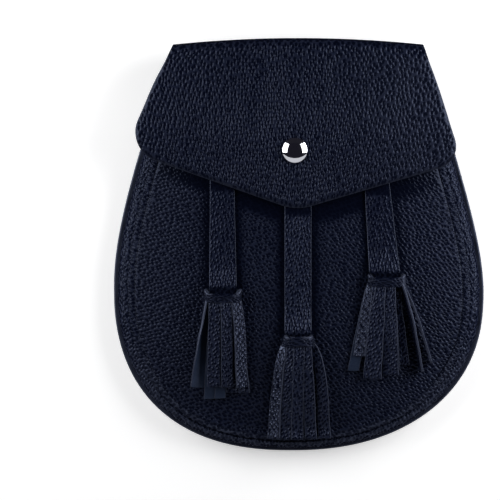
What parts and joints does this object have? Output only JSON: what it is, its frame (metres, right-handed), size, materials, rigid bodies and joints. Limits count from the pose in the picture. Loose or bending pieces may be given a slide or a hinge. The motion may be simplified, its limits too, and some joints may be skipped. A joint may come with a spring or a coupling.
{
  "type": "sporran pouch",
  "caption": "Leather sporran pouch: domed rounded body, folded pointed flap closed by a press stud, strip tassels on straps, and metal hangers on the back.",
  "frame": {"origin": "on the resting surface, under the middle of the outline", "axes": "+X to the right of the front, +Y towards the fold at the top, +Z out of the front"},
  "size_m": [0.1816, 0.2022, 0.0275],
  "materials": {
    "leather": "near-black pebbled leather, semi-gloss on the grain",
    "strip_leather": "the same leather cut in strips, with a smooth flesh side and paler cut edges",
    "polished_metal": "mirror-polished plating",
    "plain_metal": "plain satin metal"
  },
  "bodies": {
    "root": {"back_panel": "leather", "gusset": "leather", "front_panel": "leather", "flap": "leather", "snap_cap": "polished_metal", "snap_post": "plain_metal", "hanger_left": "plain_metal", "hanger_right": "plain_metal", "tassel_strap_left": "leather", "tassel_strap_centre": "leather", "tassel_strap_right": "leather", "tassel_head_left": "leather", "tassel_head_centre": "leather", "tassel_head_right": "leather", "tassel_fringe_left": "strip_leather", "tassel_fringe_centre": "strip_leather", "tassel_fringe_right": "strip_leather"}
  },
  "joints": []
}
